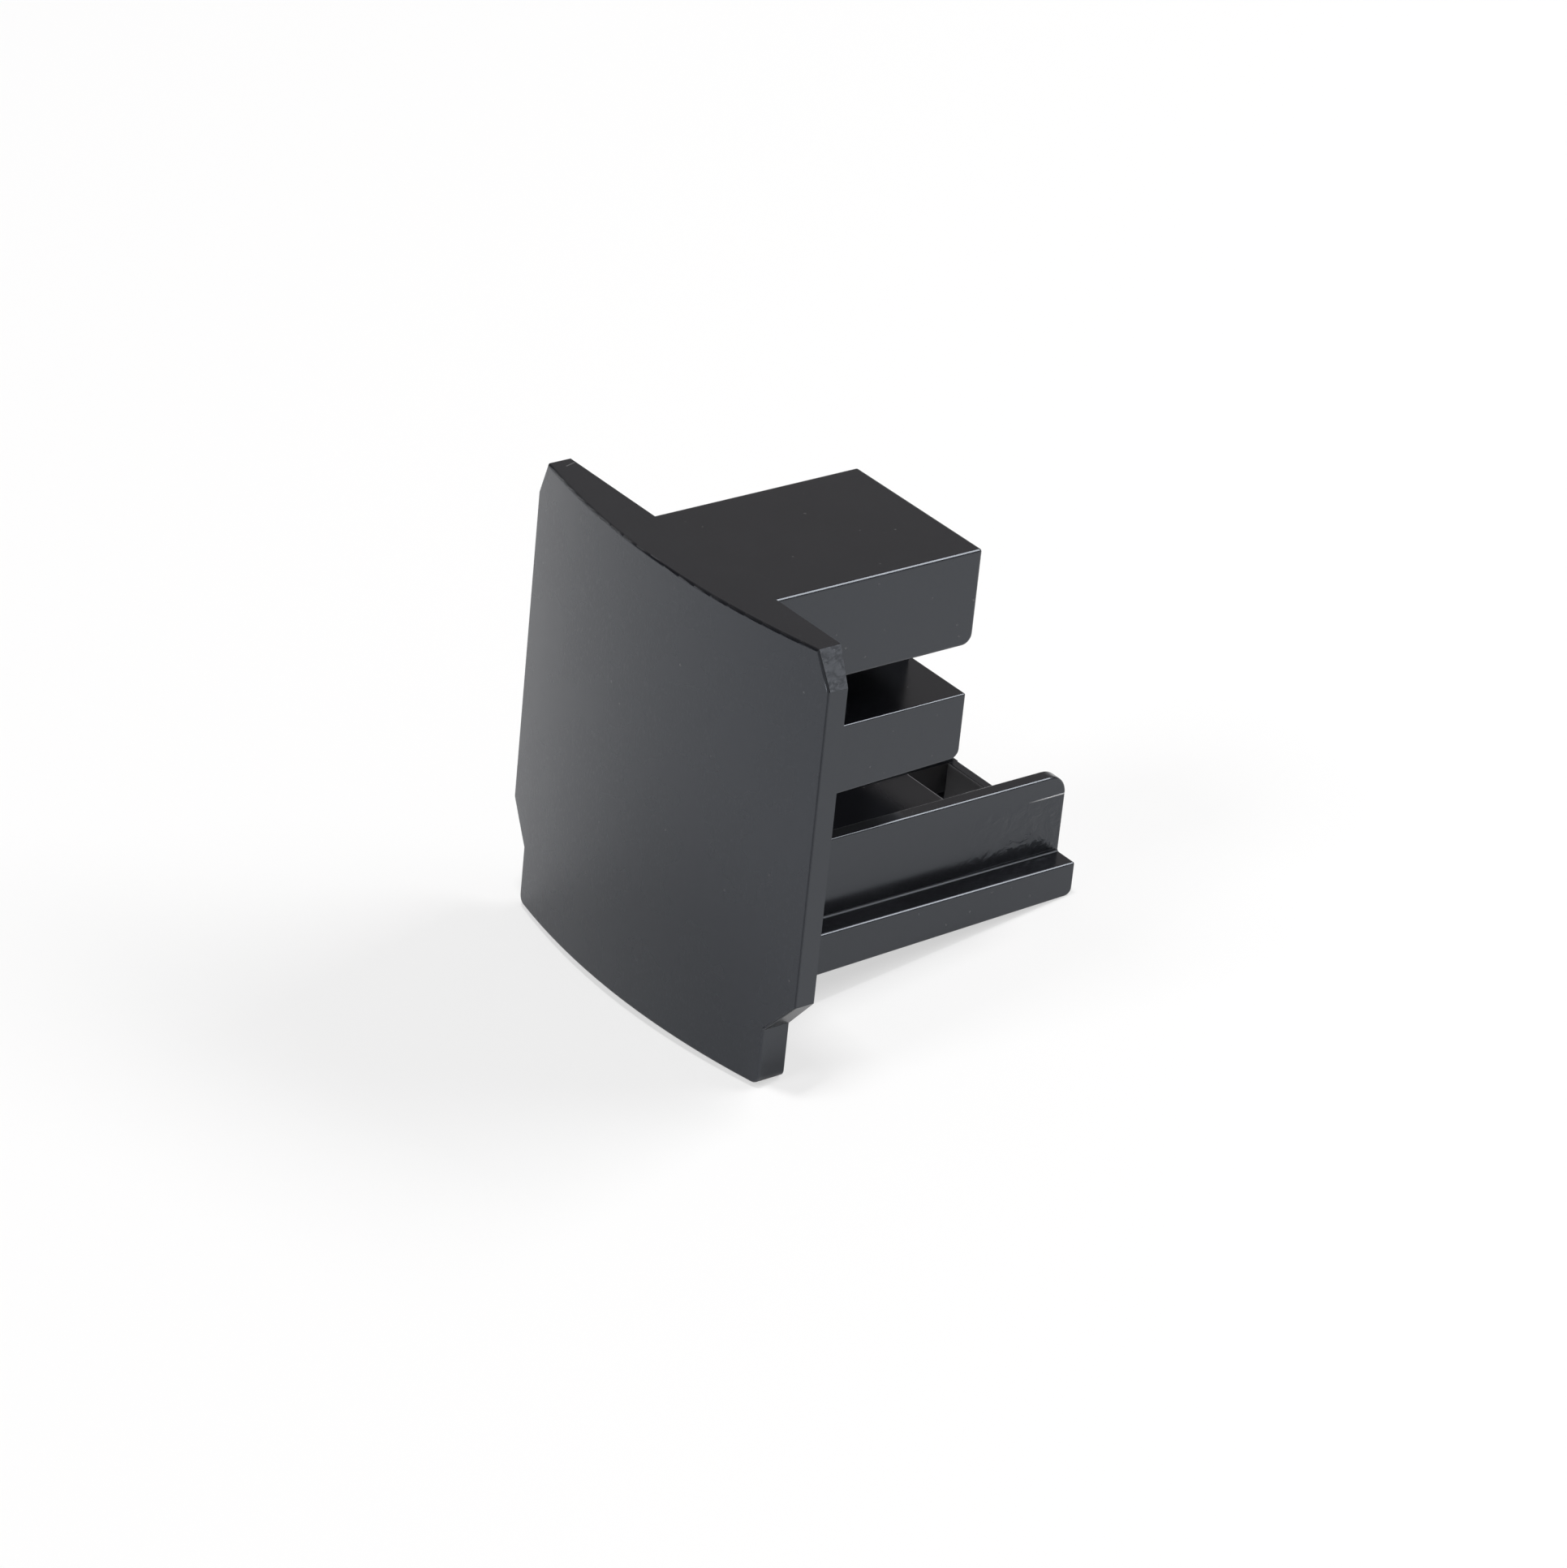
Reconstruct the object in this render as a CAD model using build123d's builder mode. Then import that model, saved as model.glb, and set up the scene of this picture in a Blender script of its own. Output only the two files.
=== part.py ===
"""End cap for a lighting track profile, moulded in one piece from black plastic.

A bulged plate closes the cut end of the profile. Behind it stand two cored blocks,
joined by a web, and a channel with a rail along each foot, which slide into the profile.

X is the width, +Y points into the profile and +Z is up. The origin is on the plate's
flat back face, on the centre line of its lower edge. Millimetres.
"""
from build123d import *
from math import radians, tan
import os

# The plate, seen from the front.
plate_width = 36.0
plate_height = 36.4
corner_cut_width = 1.3
corner_cut_height = 2.9
shoulder_height = 7.7
foot_height = 4.7
foot_width = 30.8
foot_corner_radius = 0.7

# The plate, seen from above: flat at the back and bulged in front.
plate_edge = 1.7
plate_bulge = 2.4
plate_front_round = 0.2

# The two blocks, measured down from the top of the plate.
block_right = 9.15
block_left = 6.1
block_length = 18.75
upper_block_height = 7.8
block_gap = 4.1
middle_block_height = 5.9
middle_block_draft = 1.6
upper_end_radius = 0.9
middle_end_radius = 0.75
upper_edge_round = 0.25
middle_edge_round = 0.15

# The web between the blocks, and the cores that open at their far end.
web_right = 2.6
web_thickness = 2.0
web_setback = 0.3
block_wall = 1.45
core_floor = 2.0
core_corner_radius = 0.4

# The channel between the rails, measured up from the foot of the plate.
channel_length = 31.75
channel_width = 14.1
channel_wall = 1.25
rail_underside = 3.2
rail_draft = 1.55
rail_height = 3.7
rail_reach = 2.1
rail_skin = 0.9
wall_rise = 6.7
wall_foot_radius = 0.15
wall_end_radius = 1.7
wall_lead_in = 0.5
rail_end_radius = 0.65
channel_edge_round = 0.2

# The floor of the channel, and the window before its end wall.
floor_rise = 1.6
floor_thickness = 1.3
floor_length = 26.9
window_edge_round = 0.12
end_wall_thickness = 0.95
end_wall_round = 0.15

# How far an edge or a corner may lie from a level and still count as being on it.
tolerance = 0.01

# Levels and faces that follow from the sizes above.
half_width = plate_width / 2
block_width = block_right + block_left
block_centre = (block_right - block_left) / 2
core_width = block_width - 2 * block_wall
core_depth = block_length - core_floor
upper_bottom = plate_height - upper_block_height
middle_top = upper_bottom - block_gap
middle_bottom = middle_top - middle_block_height
middle_lift = block_length * tan(radians(middle_block_draft))
upper_core_height = upper_block_height - 2 * block_wall
middle_core_height = middle_block_height - middle_lift - 2 * block_wall
rail_top = rail_underside + rail_height
wall_top = rail_top + wall_rise
floor_top = rail_top + floor_rise
floor_bottom = floor_top - floor_thickness
skin_bottom = rail_top - rail_skin
wall_outside = channel_width / 2
wall_inside = wall_outside - channel_wall
rail_outside = wall_outside + rail_reach
rail_inside = rail_outside - channel_wall
rail_lift = channel_length * tan(radians(rail_draft))

# The plate: its front outline, trimmed to the bulge.
with BuildPart() as plate:
    with BuildSketch(Plane.XZ) as outline:
        with BuildLine():
            Polyline(
                (0, 0),
                (foot_width / 2, 0),
                (foot_width / 2, foot_height),
                (half_width, shoulder_height),
                (half_width, plate_height - corner_cut_height),
                (half_width - corner_cut_width, plate_height),
                (0, plate_height),
            )
            mirror(about=Plane.YZ)
        make_face()
        fillet(outline.vertices().group_by(Axis.Y)[0], foot_corner_radius)
    extrude(amount=plate_edge + plate_bulge)
    with BuildSketch(Plane.XY):
        with BuildLine():
            edge_left = (-half_width, -plate_edge)
            edge_right = (half_width, -plate_edge)
            ThreePointArc(edge_left, (0, -plate_edge - plate_bulge), edge_right)
            Polyline(edge_left, (-half_width, 0), (half_width, 0), edge_right)
        make_face()
    extrude(amount=plate_height, mode=Mode.INTERSECT)
    bulged_face = plate.faces().filter_by(GeomType.CYLINDER).sort_by(SortBy.AREA)[-1]
    fillet(bulged_face.edges(), plate_front_round)

# The blocks: side profiles drawn out sideways, with rounded edges away from the plate.
with BuildPart() as upper_block:
    with BuildSketch(Plane.YZ.offset(-block_left)) as upper_side:
        with BuildLine():
            Polyline(
                (0, upper_bottom),
                (block_length, upper_bottom),
                (block_length, plate_height),
                (0, plate_height),
                close=True,
            )
        make_face()
        fillet(upper_side.vertices().group_by(Axis.X)[-1].sort_by(Axis.Y)[0], upper_end_radius)
    extrude(amount=block_width)
    upper_root = upper_block.edges().filter_by_position(Axis.Y, -tolerance, tolerance)
    fillet(upper_block.edges() - upper_root, upper_edge_round)
    with BuildSketch(Plane.XZ.offset(-block_length)):
        with Locations((block_centre, (upper_bottom + plate_height) / 2)):
            RectangleRounded(core_width, upper_core_height, core_corner_radius)
    extrude(amount=core_depth, mode=Mode.SUBTRACT)

with BuildPart() as middle_block:
    with BuildSketch(Plane.YZ.offset(-block_left)) as middle_side:
        with BuildLine():
            Polyline(
                (0, middle_bottom),
                (block_length, middle_bottom + middle_lift),
                (block_length, middle_top),
                (0, middle_top),
                close=True,
            )
        make_face()
        fillet(middle_side.vertices().group_by(Axis.X)[-1].sort_by(Axis.Y)[0], middle_end_radius)
    extrude(amount=block_width)
    middle_root = middle_block.edges().filter_by_position(Axis.Y, -tolerance, tolerance)
    fillet(middle_block.edges() - middle_root, middle_edge_round)
    with BuildSketch(Plane.XZ.offset(-block_length)):
        with Locations((block_centre, (middle_bottom + middle_lift + middle_top) / 2)):
            RectangleRounded(core_width, middle_core_height, core_corner_radius)
    extrude(amount=core_depth, mode=Mode.SUBTRACT)

# The web that ties the two blocks together across the gap.
with BuildPart() as web:
    with BuildSketch(Plane.XZ):
        with Locations((web_right - web_thickness / 2, (upper_bottom + middle_top) / 2)):
            Rectangle(web_thickness, block_gap)
    extrude(amount=-(block_length - web_setback))

# The channel: one thin section with its floor, walls and hollow rails, drawn out along Y.
with BuildPart() as channel:
    with BuildSketch(Plane.XZ) as section:
        with BuildLine():
            Polyline(
                (0, floor_bottom),
                (wall_inside, floor_bottom),
                (wall_inside, skin_bottom),
                (rail_inside, skin_bottom),
                (rail_inside, rail_underside),
                (rail_outside, rail_underside),
                (rail_outside, rail_top),
                (wall_outside, rail_top),
                (wall_outside, wall_top),
                (wall_inside, wall_top),
                (wall_inside, floor_top),
                (0, floor_top),
            )
            mirror(about=Plane.YZ)
        make_face()
        on_rails = section.vertices().filter_by_position(
            Axis.Y, rail_top - tolerance, rail_top + tolerance
        )
        fillet(on_rails.sort_by(Axis.X)[1:-1], wall_foot_radius)
    extrude(amount=-channel_length)
    # the end wall's lower part closes the rails' hollows and the space between them
    with BuildSketch(Plane.XZ.offset(end_wall_thickness - channel_length)):
        with Locations((0, (rail_underside + skin_bottom) / 2)):
            Rectangle(2 * rail_inside, skin_bottom - rail_underside)
    extrude(amount=-end_wall_thickness)
    # seen from the side, the rails thin towards the far end and both corners are rounded
    with BuildSketch(Plane.YZ.offset(-rail_outside)) as channel_side:
        with BuildLine():
            Polyline(
                (0, rail_underside),
                (channel_length, rail_underside + rail_lift),
                (channel_length, wall_top),
                (0, wall_top),
                close=True,
            )
        make_face()
        fillet(channel_side.vertices().group_by(Axis.X)[-1].sort_by(Axis.Y)[0], rail_end_radius)
        fillet(channel_side.vertices().group_by(Axis.X)[-1].sort_by(Axis.Y)[-1], wall_end_radius)
    extrude(amount=2 * rail_outside, mode=Mode.INTERSECT)
    # rounded edges: around the rails' outer sides and over the tops of the walls
    channel_root = channel.edges().filter_by_position(Axis.Y, -tolerance, tolerance)
    rail_sides = channel.faces().group_by(Axis.X)[0] + channel.faces().group_by(Axis.X)[-1]
    wall_tops = channel.faces().group_by(Axis.Z)[-1].edges().filter_by(Axis.Y)
    fillet(rail_sides.edges() - channel_root + wall_tops, channel_edge_round)
    # the walls' inner corners are cut back at the far end as a lead-in
    with BuildSketch(Plane.XY.offset(floor_top)):
        with BuildLine():
            Polyline(
                (-wall_inside, channel_length),
                (-wall_inside, channel_length - wall_lead_in),
                (-wall_inside - wall_lead_in, channel_length),
                close=True,
            )
        make_face()
        mirror(about=Plane.YZ)
    extrude(amount=wall_top - floor_top, mode=Mode.SUBTRACT)
    # the floor stops short of the end wall and leaves a window
    with BuildSketch(Plane.XY.offset(floor_bottom)):
        with Locations((0, (floor_length + channel_length) / 2)):
            Rectangle(2 * wall_inside, channel_length - floor_length)
    extrude(amount=floor_thickness, mode=Mode.SUBTRACT)
    window_edges = channel.edges().filter_by(Axis.X).filter_by_position(
        Axis.Y, floor_length - tolerance, floor_length + tolerance
    )
    fillet(window_edges.sort_by(Axis.Z)[-1], window_edge_round)
    with BuildSketch(Plane.YZ.offset(-wall_inside)) as end_wall:
        with Locations((channel_length - end_wall_thickness / 2, (skin_bottom + floor_top) / 2)):
            Rectangle(end_wall_thickness, floor_top - skin_bottom)
        fillet(end_wall.vertices().group_by(Axis.Y)[-1], end_wall_round)
    extrude(amount=2 * wall_inside)

# The whole moulding.
with BuildPart() as end_cap:
    add(plate.part)
    add(upper_block.part)
    add(middle_block.part)
    add(web.part)
    add(channel.part)

end_cap.part.label = "end_cap"
os.makedirs("parts", exist_ok=True)
export_step(end_cap.part, "parts/end_cap.step")
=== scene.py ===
"""Looks for the profile end cap: black moulded plastic on a pale studio floor."""
from math import cos, pi, radians, sin
from types import SimpleNamespace

import bpy
from mathutils import Matrix, Vector


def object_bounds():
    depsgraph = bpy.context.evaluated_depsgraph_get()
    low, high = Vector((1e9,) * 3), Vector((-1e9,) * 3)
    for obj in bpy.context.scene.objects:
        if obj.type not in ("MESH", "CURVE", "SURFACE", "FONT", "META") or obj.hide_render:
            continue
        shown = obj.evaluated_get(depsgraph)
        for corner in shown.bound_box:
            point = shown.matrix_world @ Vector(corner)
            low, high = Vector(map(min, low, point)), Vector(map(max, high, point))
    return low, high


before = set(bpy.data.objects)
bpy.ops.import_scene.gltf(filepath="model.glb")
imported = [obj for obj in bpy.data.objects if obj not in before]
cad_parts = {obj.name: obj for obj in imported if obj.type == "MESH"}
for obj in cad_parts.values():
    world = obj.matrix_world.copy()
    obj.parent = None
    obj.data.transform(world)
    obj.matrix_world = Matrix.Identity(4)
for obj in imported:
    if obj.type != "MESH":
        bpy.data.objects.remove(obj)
cad_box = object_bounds()

MM = 0.001

# Places on the part in millimetres: x is the width, y is 0 at the plate's back and grows
# towards the channel's far end, and z is the height above the plate's foot.
PLATE_SIDE = cad_box[1][0] / MM
CHANNEL_END = cad_box[1][1] / MM
PLATE_TOP = cad_box[1][2] / MM
PLATE_EDGE = -1.7
CORNER_CUT_WIDTH = 1.3
CORNER_CUT_HEIGHT = 2.9
RAIL_TOP = 6.9
WALL_OUTSIDE = 7.05
WALL_INSIDE = 5.8
WALL_TOP = 13.6
WALL_END_RADIUS = 1.7
FLOOR_BOTTOM = 7.2
FLOOR_TOP = 8.5
FLOOR_END = 26.9
END_WALL = CHANNEL_END - 0.95

# How far along the channel it turns rough and is painted paler as if lit, and the right wall's marks,
# the parting mark with a painted highlight, begin and are in full.
MATT_PAINTED_LIGHT_START = 21.3
MATT_PAINTED_LIGHT_FULL = 24.5
FLOW_START = 20.0
FLOW_FULL = 27.0
SEAM_AND_PAINTED_HIGHLIGHT_START = 27.8
SEAM_AND_PAINTED_HIGHLIGHT_FULL = 30.4

# How far the near part of the walls' tops is rough in full, and at all.
CREST_FULL = 15.2
CREST_END = 16.6

# The part leans on the plate's foot and the rails' far ends, so the floor is tilted under it.
# Its reach each way is in metres.
FLOOR_TILT = radians(7.4)
FLOOR_UP = Vector((0.0, -sin(FLOOR_TILT), cos(FLOOR_TILT)))
FLOOR_REACH = 3.0

# The photograph's viewpoint, in degrees and millimetres, and its lens.
CAMERA_AZIMUTH = 50.6605
CAMERA_ELEVATION = 27.9937
CAMERA_ROLL = 5.9268
CAMERA_PLACE = Vector((321.108, -253.388, 235.344))
SENSOR_WIDTH = 36.0
FOCAL_LENGTH = 144.52


def tree_of(owner):
    """Empties a material's or world's node tree and returns it."""
    owner.use_nodes = True
    owner.node_tree.nodes.clear()
    return owner.node_tree


class Graph:
    """Short names for the nodes that the materials use again and again."""

    def __init__(self, tree):
        self.tree = tree

    def node(self, kind, **settings):
        made = self.tree.nodes.new(kind)
        for name, value in settings.items():
            setattr(made, name, value)
        return made

    def feed(self, socket, value):
        """Links a socket to value, or sets it where value is a number or a colour."""
        if isinstance(value, bpy.types.NodeSocket):
            self.tree.links.new(value, socket)
        elif value is not None:
            socket.default_value = value

    def math(self, operation, a, b=None):
        made = self.node("ShaderNodeMath", operation=operation)
        for socket, value in zip(made.inputs, (a, b)):
            self.feed(socket, value)
        return made.outputs[0]

    def vector(self, operation, a, b=None):
        made = self.node("ShaderNodeVectorMath", operation=operation)
        for socket, value in zip(made.inputs, (a, b)):
            self.feed(socket, value)
        return made.outputs["Value" if operation in ("DOT_PRODUCT", "LENGTH") else "Vector"]

    def split(self, vector):
        made = self.node("ShaderNodeSeparateXYZ")
        self.feed(made.inputs[0], vector)
        return made.outputs

    def ramp(self, value, low, high, to_low=0.0, to_high=1.0):
        """Goes smoothly from to_low at low to to_high at high."""
        made = self.node("ShaderNodeMapRange", interpolation_type="SMOOTHSTEP")
        for name, number in zip(("Value", "From Min", "From Max", "To Min", "To Max"),
                                (value, low, high, to_low, to_high)):
            self.feed(made.inputs[name], number)
        return made.outputs[0]

    def noise(self, place, scale, detail, roughness, distortion=0.0):
        made = self.node("ShaderNodeTexNoise", noise_dimensions="3D")
        for name, number in (("Vector", place), ("Scale", scale), ("Detail", detail),
                             ("Roughness", roughness), ("Distortion", distortion)):
            self.feed(made.inputs[name], number)
        return made.outputs["Fac"]

    def band(self, value, middle, half_width, soft):
        """Is 1 within half_width of middle and falls to 0 over soft."""
        away = self.math("ABSOLUTE", self.math("SUBTRACT", value, middle))
        return self.ramp(away, half_width, half_width + soft, 1.0, 0.0)

    def all_of(self, *masks):
        made = masks[0]
        for mask in masks[1:]:
            made = self.math("MULTIPLY", made, mask)
        return made

    def add(self, value, mask, amount):
        """Adds amount to value where mask is 1, and a share of it where mask is less."""
        return self.math("ADD", value, self.math("MULTIPLY", mask, amount))

    def mix(self, factor, a, b):
        made = self.node("ShaderNodeMix", data_type="RGBA")
        self.feed(made.inputs["Factor"], factor)
        self.feed(made.inputs["A"], a)
        self.feed(made.inputs["B"], b)
        return made.outputs["Result"]


class PartGraph(Graph):
    """A graph that also knows where on the part a point lies, in mm, and which way it faces."""

    def __init__(self, tree):
        super().__init__(tree)
        coords = self.node("ShaderNodeTexCoord")
        self.place = self.vector("MULTIPLY", coords.outputs["Object"], (1 / MM, 1 / MM, 1 / MM))
        self.x, self.y, self.z = self.split(self.place)
        self.aside = self.math("ABSOLUTE", self.x)
        self.normal = coords.outputs["Normal"]
        facing = self.split(self.normal)
        self.along = facing["Y"]
        self.upward = facing["Z"]


def plate_regions(graph):
    """Masks for the plate's front, its rounded right edge and its cut right corner."""
    cut_faces = Vector((CORNER_CUT_HEIGHT, 0.0, CORNER_CUT_WIDTH)).normalized()
    cut_foot = PLATE_TOP - CORNER_CUT_HEIGHT
    return {
        "front": graph.all_of(
            graph.ramp(graph.along, -0.55, -0.85),
            graph.ramp(graph.y, PLATE_EDGE + 0.1, PLATE_EDGE - 0.05),
        ),
        "front_edge": graph.all_of(
            graph.band(graph.along, -0.65, 0.15, 0.12),
            graph.ramp(graph.x, PLATE_SIDE - 3.0, PLATE_SIDE - 2.0),
            graph.ramp(graph.upward, 0.55, 0.45),
        ),
        "chamfer": graph.all_of(
            graph.ramp(graph.vector("DOT_PRODUCT", graph.normal, cut_faces), 0.97, 0.99),
            graph.ramp(graph.z, cut_foot - 0.5, cut_foot - 0.1),
            graph.ramp(graph.x, PLATE_SIDE - 8.0, PLATE_SIDE - 7.0),
        ),
    }


def channel_regions(graph):
    """Masks for the inside of the channel and for its walls."""
    between_walls = graph.ramp(graph.aside, WALL_INSIDE + 0.05, WALL_INSIDE + 0.01)
    up_to_floor = graph.ramp(graph.z, FLOOR_TOP + 0.06, FLOOR_TOP + 0.02)
    behind_plate = graph.ramp(graph.y, 0.0, 0.1)
    far_end = graph.all_of(between_walls, graph.ramp(graph.y, MATT_PAINTED_LIGHT_START, MATT_PAINTED_LIGHT_FULL), up_to_floor)
    end_wall = graph.all_of(far_end, graph.ramp(graph.y, END_WALL - 0.2, END_WALL - 0.05))
    end_top = graph.all_of(end_wall, graph.ramp(graph.upward, 0.4, 0.8))
    outside_wall = graph.ramp(graph.x, WALL_OUTSIDE - 0.15, WALL_OUTSIDE - 0.05)
    return {
        # around the window, without the end wall's top; rougher, and painted paler as light falling past
        # the blocks
        "matt": graph.all_of(far_end, graph.math("SUBTRACT", 1.0, end_top)),
        # the end wall's inside face, rougher and painted pale as if lit
        "end_face": graph.all_of(end_wall, graph.ramp(graph.along, -0.4, -0.8)),
        # the floor's end at its window, where a thin highlight line is painted
        "window_edge": graph.all_of(
            graph.band(graph.y, FLOOR_END - 0.08, 0.04, 0.05),
            between_walls,
            graph.ramp(graph.z, FLOOR_TOP - 0.2, FLOOR_TOP - 0.15),
            up_to_floor,
        ),
        # the channel's inside, from the plate to where it turns rough and is painted paler as if lit
        "inside": graph.all_of(
            graph.ramp(graph.aside, WALL_INSIDE + 0.15, WALL_INSIDE + 0.05),
            graph.ramp(graph.z, FLOOR_BOTTOM, FLOOR_BOTTOM + 0.1),
            graph.ramp(graph.z, WALL_TOP + 0.1, WALL_TOP),
            graph.ramp(graph.y, MATT_PAINTED_LIGHT_FULL, MATT_PAINTED_LIGHT_START),
            behind_plate,
        ),
        # the near part of the walls' tops
        "wall_crest": graph.all_of(
            graph.band(graph.aside, (WALL_INSIDE + WALL_OUTSIDE) / 2, 0.45, 0.06),
            graph.band(graph.z, WALL_TOP, 0.03, 0.02),
            graph.ramp(graph.upward, 0.9, 0.97),
            graph.ramp(graph.y, CREST_END, CREST_FULL),
        ),
        # the corner between the right wall and its rail
        "wall_foot": graph.all_of(
            graph.band(graph.x, WALL_OUTSIDE + 0.05, 0.08, 0.04),
            graph.band(graph.z, RAIL_TOP + 0.05, 0.1, 0.04),
            behind_plate,
        ),
        # the far part of the right wall's outside, where the plastic shows how it flowed
        "flow_marks": graph.all_of(
            outside_wall,
            graph.ramp(graph.y, FLOW_START, FLOW_FULL),
            graph.ramp(graph.z, RAIL_TOP, RAIL_TOP + 0.3),
            graph.ramp(graph.z, WALL_TOP - 1.0, WALL_TOP - 2.6),
        ),
        # the mould's parting mark, at the foot of the wall's rounded end; its bright line is a painted
        # highlight
        "seam": graph.all_of(
            graph.band(graph.z, WALL_TOP - WALL_END_RADIUS, 0.03, 0.04),
            outside_wall,
            graph.ramp(graph.y, SEAM_AND_PAINTED_HIGHLIGHT_START, SEAM_AND_PAINTED_HIGHLIGHT_FULL),
        ),
    }


def dust_specks(graph):
    """A mask of small round specks that lie here and there."""
    cells = graph.node("ShaderNodeTexVoronoi", feature="F1", voronoi_dimensions="3D")
    graph.feed(cells.inputs["Vector"], graph.place)
    graph.feed(cells.inputs["Scale"], 0.75)
    chosen = graph.node("ShaderNodeSeparateColor")
    graph.feed(chosen.inputs[0], cells.outputs["Color"])
    return graph.all_of(
        graph.ramp(cells.outputs["Distance"], 0.045, 0.10, 1.0, 0.0),
        graph.ramp(chosen.outputs[0], 0.72, 0.80),
        graph.ramp(graph.noise(graph.place, scale=9.0, detail=2.0, roughness=0.7), 0.42, 0.60),
    )


def front_flecks(graph, front):
    """A mask of upright flecks in front, which are stronger towards the left."""
    upright = graph.vector("MULTIPLY", graph.place, (1.0, 1.0, 0.45))
    fleck = graph.ramp(graph.noise(upright, scale=5.0, detail=2.0, roughness=0.6), 0.52, 0.70)
    strength = graph.ramp(graph.x, 6.0, -14.0, 0.25, 0.9)
    return graph.all_of(fleck, front, strength)


def top_scratch(graph):
    """A mask of the short slanting scratch at the top's left end."""
    across = graph.math("ADD", graph.x, graph.math("MULTIPLY", graph.y, 0.29))
    return graph.all_of(
        graph.band(across, 1.95 - PLATE_SIDE, 0.03, 0.05),
        graph.band(graph.y, -0.58, 0.42, 0.15),
        graph.ramp(graph.z, PLATE_TOP - 0.2, PLATE_TOP - 0.1),
    )


def plastic_colour(graph, region, wrinkle):
    """Near black and a little uneven, with paler layers laid over it one by one, of which some are
    painted light and painted highlights.
    """
    deep = (0.0040, 0.0043, 0.0055, 1.0)
    shallow = (0.0060, 0.0063, 0.0080, 1.0)
    colour = graph.mix(graph.noise(graph.place, scale=0.35, detail=3.0, roughness=0.6), deep, shallow)
    worn = graph.math("MULTIPLY", region.chamfer, graph.ramp(wrinkle, 0.35, 0.65, 0.45, 0.95))
    layers = (
        # the far channel, rougher and painted paler as light falling past the blocks
        (region.matt, (0.021, 0.0195, 0.0195, 1.0)),
        # the end wall's inside face, painted pale as light falling on it
        (region.end_face, (0.13, 0.127, 0.13, 1.0)),
        (region.front, (0.0060, 0.0066, 0.0095, 1.0)),
        # a painted highlight line along the floor's end at the window
        (graph.math("MULTIPLY", region.window_edge, 0.8), (0.20, 0.20, 0.21, 1.0)),
        (front_flecks(graph, region.front), (0.026, 0.027, 0.031, 1.0)),
        (graph.math("MULTIPLY", dust_specks(graph), 0.55), (0.16, 0.16, 0.155, 1.0)),
        (worn, (0.074, 0.079, 0.088, 1.0)),
        (graph.math("MULTIPLY", top_scratch(graph), 0.8), (0.11, 0.11, 0.11, 1.0)),
        # the parting mark's bright line, a painted highlight
        (region.seam, (0.55, 0.55, 0.56, 1.0)),
    )
    for mask, layer in layers:
        colour = graph.mix(mask, colour, layer)
    return colour


def plastic_roughness(graph, region):
    """Smooth flanks and a rougher front, each a little uneven, with changes in single places."""
    drift = graph.noise(graph.place, scale=0.22, detail=2.0, roughness=0.5)
    flank = graph.ramp(drift, 0.3, 0.7, 0.20, 0.23)
    front = graph.ramp(drift, 0.3, 0.7, 0.26, 0.29)
    elsewhere = graph.math("SUBTRACT", 1.0, region.front)
    roughness = graph.add(graph.math("MULTIPLY", region.front, front), elsewhere, flank)
    changes = (
        (region.chamfer, 0.1),
        (region.front_edge, 0.4),
        (region.matt, 0.12),
        (region.end_face, 0.25),
        (region.wall_crest, 0.75),
        (region.inside, -0.1),
        (region.wall_foot, 0.22),
    )
    for mask, change in changes:
        roughness = graph.add(roughness, mask, change)
    return graph.math("MINIMUM", roughness, 1.0)


def plastic_relief(graph, region, wrinkle):
    """Heights in mm: a fine grain, flow marks, the worn corner's wrinkles and the parting mark."""
    grain = graph.noise(graph.place, scale=5.5, detail=3.0, roughness=0.65)
    fine_grain = graph.noise(graph.place, scale=13.0, detail=2.0, roughness=0.6)
    grain_depth = graph.add(graph.add(0.0011, region.front, 0.006), region.chamfer, 0.01)
    relief = graph.math("MULTIPLY", graph.add(grain, fine_grain, 0.4), grain_depth)
    flow = graph.noise(graph.place, scale=0.9, detail=3.0, roughness=0.55, distortion=0.8)
    relief = graph.add(relief, graph.math("MULTIPLY", flow, region.flow_marks), 0.09)
    relief = graph.add(relief, graph.math("MULTIPLY", wrinkle, region.chamfer), 0.06)
    return graph.add(relief, region.seam, 0.03)


def black_moulding():
    """Black plastic with an eroded grain in front and smoother flanks."""
    material = bpy.data.materials.new("black_moulding")
    graph = PartGraph(tree_of(material))
    region = SimpleNamespace(**plate_regions(graph), **channel_regions(graph))
    slanted = graph.vector("MULTIPLY", graph.place, (1.0, 0.8, 1.6))
    wrinkle = graph.noise(slanted, scale=1.7, detail=1.5, roughness=0.45, distortion=1.0)

    bump = graph.node("ShaderNodeBump")
    graph.feed(bump.inputs["Strength"], 1.0)
    graph.feed(bump.inputs["Distance"], MM)
    graph.feed(bump.inputs["Height"], plastic_relief(graph, region, wrinkle))

    shader = graph.node("ShaderNodeBsdfPrincipled")
    graph.feed(shader.inputs["Base Color"], plastic_colour(graph, region, wrinkle))
    graph.feed(shader.inputs["Roughness"], plastic_roughness(graph, region))
    graph.feed(shader.inputs["IOR"], 1.65)
    graph.feed(shader.inputs["Specular Tint"], (0.84, 0.90, 1.0, 1.0))
    graph.feed(shader.inputs["Normal"], bump.outputs[0])
    out = graph.node("ShaderNodeOutputMaterial")
    graph.feed(out.inputs["Surface"], shader.outputs[0])
    return material


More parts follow.
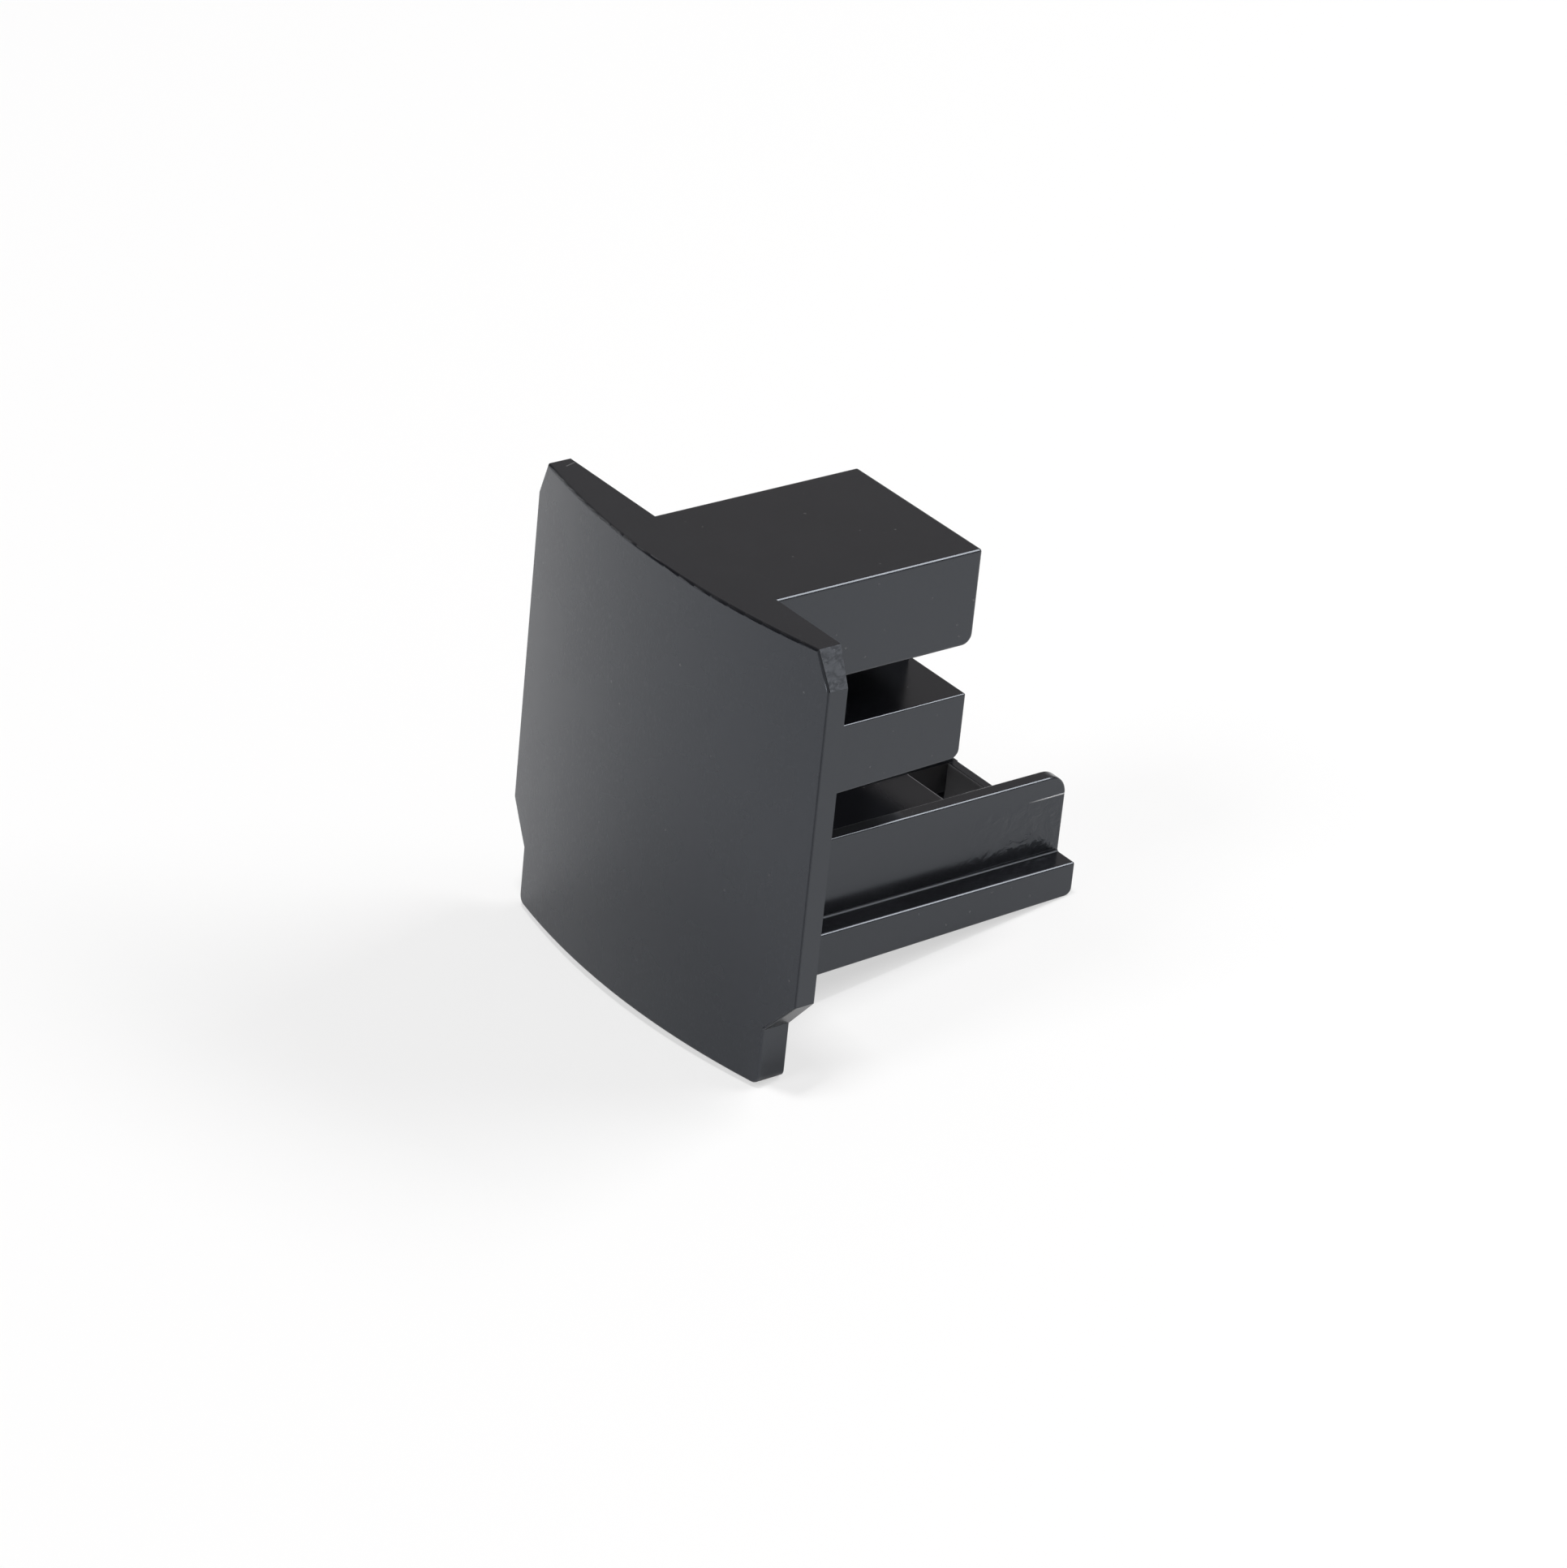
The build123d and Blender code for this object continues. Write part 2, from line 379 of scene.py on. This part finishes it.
def white_board():
    """A diffuse white that is partly seen as plain white, which softens shadows, and wholly far away."""
    material = bpy.data.materials.new("pale_floor")
    graph = Graph(tree_of(material))
    board = graph.node("ShaderNodeBsdfDiffuse")
    graph.feed(board.inputs["Color"], (0.93, 0.93, 0.93, 1.0))
    white = graph.node("ShaderNodeEmission")
    path = graph.node("ShaderNodeLightPath")
    reflected = graph.math("MAXIMUM", path.outputs["Is Glossy Ray"], path.outputs["Is Transmission Ray"])
    away = graph.vector("LENGTH", graph.node("ShaderNodeTexCoord").outputs["Object"])
    plain = graph.math("MULTIPLY", path.outputs["Is Camera Ray"], graph.ramp(away, 0.25, 1.0, 0.6, 1.0))
    blend = graph.node("ShaderNodeMixShader")
    graph.feed(blend.inputs[0], graph.add(plain, reflected, 0.08))
    graph.feed(blend.inputs[1], board.outputs[0])
    graph.feed(blend.inputs[2], white.outputs[0])
    out = graph.node("ShaderNodeOutputMaterial")
    graph.feed(out.inputs["Surface"], blend.outputs[0])
    return material


def pale_floor():
    """A large board, tilted so that the part rests on it."""
    corners = ((-1, -1), (1, -1), (1, 1), (-1, 1))
    ahead = Vector((0.0, cos(FLOOR_TILT), sin(FLOOR_TILT))) * FLOOR_REACH
    right = Vector((FLOOR_REACH, 0.0, 0.0))
    mesh = bpy.data.meshes.new("floor")
    mesh.from_pydata([right * x + ahead * y for x, y in corners], [], [(0, 1, 2, 3)])
    mesh.materials.append(white_board())
    floor = bpy.data.objects.new("floor", mesh)
    bpy.context.scene.collection.objects.link(floor)


def lamp(name, place, along, length, width, radiance):
    """A rectangular lamp at place, in metres, with its length along a direction, turned to the part."""
    light = bpy.data.lights.new(name, "AREA")
    light.shape = "RECTANGLE"
    light.size = length
    light.size_y = width
    light.energy = radiance * pi * length * width
    made = bpy.data.objects.new(name, light)
    place = Vector(place)
    along = Vector(along).normalized()
    back = (place - along * place.dot(along)).normalized()
    turn = Matrix((along, back.cross(along), back)).transposed().to_4x4()
    made.matrix_world = Matrix.Translation(place) @ turn
    bpy.context.scene.collection.objects.link(made)


def lamps():
    """One high above, a long one behind on the right, and a weak one in front."""
    lamp("overhead", place=(0.0, -0.21, 1.48), along=(1.0, 0.0, 0.0),
         length=0.21, width=0.21, radiance=67.5)
    lamp("behind_right", place=(0.455, 0.88, 1.12), along=(0.963, 0.268, 0.0),
         length=1.19, width=0.35, radiance=9.9)
    lamp("front", place=(-0.08, -1.2, 1.06), along=(1.0, 0.0, 0.0),
         length=0.4, width=0.4, radiance=9.5)


def studio():
    """White at and below the horizon; above it grey behind the part and dim in front."""
    white = (0.95, 0.95, 0.95, 1.0)
    dim = (0.06, 0.06, 0.06, 1.0)
    grey = (0.280, 0.265, 0.262, 1.0)
    world = bpy.data.worlds.new("studio")
    bpy.context.scene.world = world
    graph = Graph(tree_of(world))
    direction = graph.node("ShaderNodeTexCoord").outputs["Generated"]
    height = graph.vector("DOT_PRODUCT", direction, FLOOR_UP)
    behind = graph.ramp(graph.vector("DOT_PRODUCT", direction, (0.0, 1.0, 0.0)), -0.5, 0.5)
    upper = graph.mix(behind, dim, grey)
    shader = graph.node("ShaderNodeBackground")
    graph.feed(shader.inputs["Color"], graph.mix(graph.ramp(height, 0.02, 0.22, 1.0, 0.0), upper, white))
    graph.feed(shader.inputs["Strength"], 1.0)
    out = graph.node("ShaderNodeOutputWorld")
    graph.feed(out.inputs["Surface"], shader.outputs[0])


def camera():
    """The photograph's viewpoint, with its slight roll."""
    data = bpy.data.cameras.new("camera")
    data.sensor_fit = "HORIZONTAL"
    data.sensor_width = SENSOR_WIDTH
    data.lens = FOCAL_LENGTH
    data.clip_start = 0.05
    made = bpy.data.objects.new("camera", data)
    around = Matrix.Rotation(radians(CAMERA_AZIMUTH), 4, "Z")
    down = Matrix.Rotation(radians(90 - CAMERA_ELEVATION), 4, "X")
    roll = Matrix.Rotation(radians(CAMERA_ROLL), 4, "Z")
    made.matrix_world = Matrix.Translation(CAMERA_PLACE * MM) @ around @ down @ roll
    bpy.context.scene.collection.objects.link(made)
    bpy.context.scene.camera = made


moulding = black_moulding()
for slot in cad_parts["end_cap"].material_slots:
    slot.material = moulding

pale_floor()
studio()
lamps()
camera()
bpy.context.scene.view_settings.view_transform = "Standard"
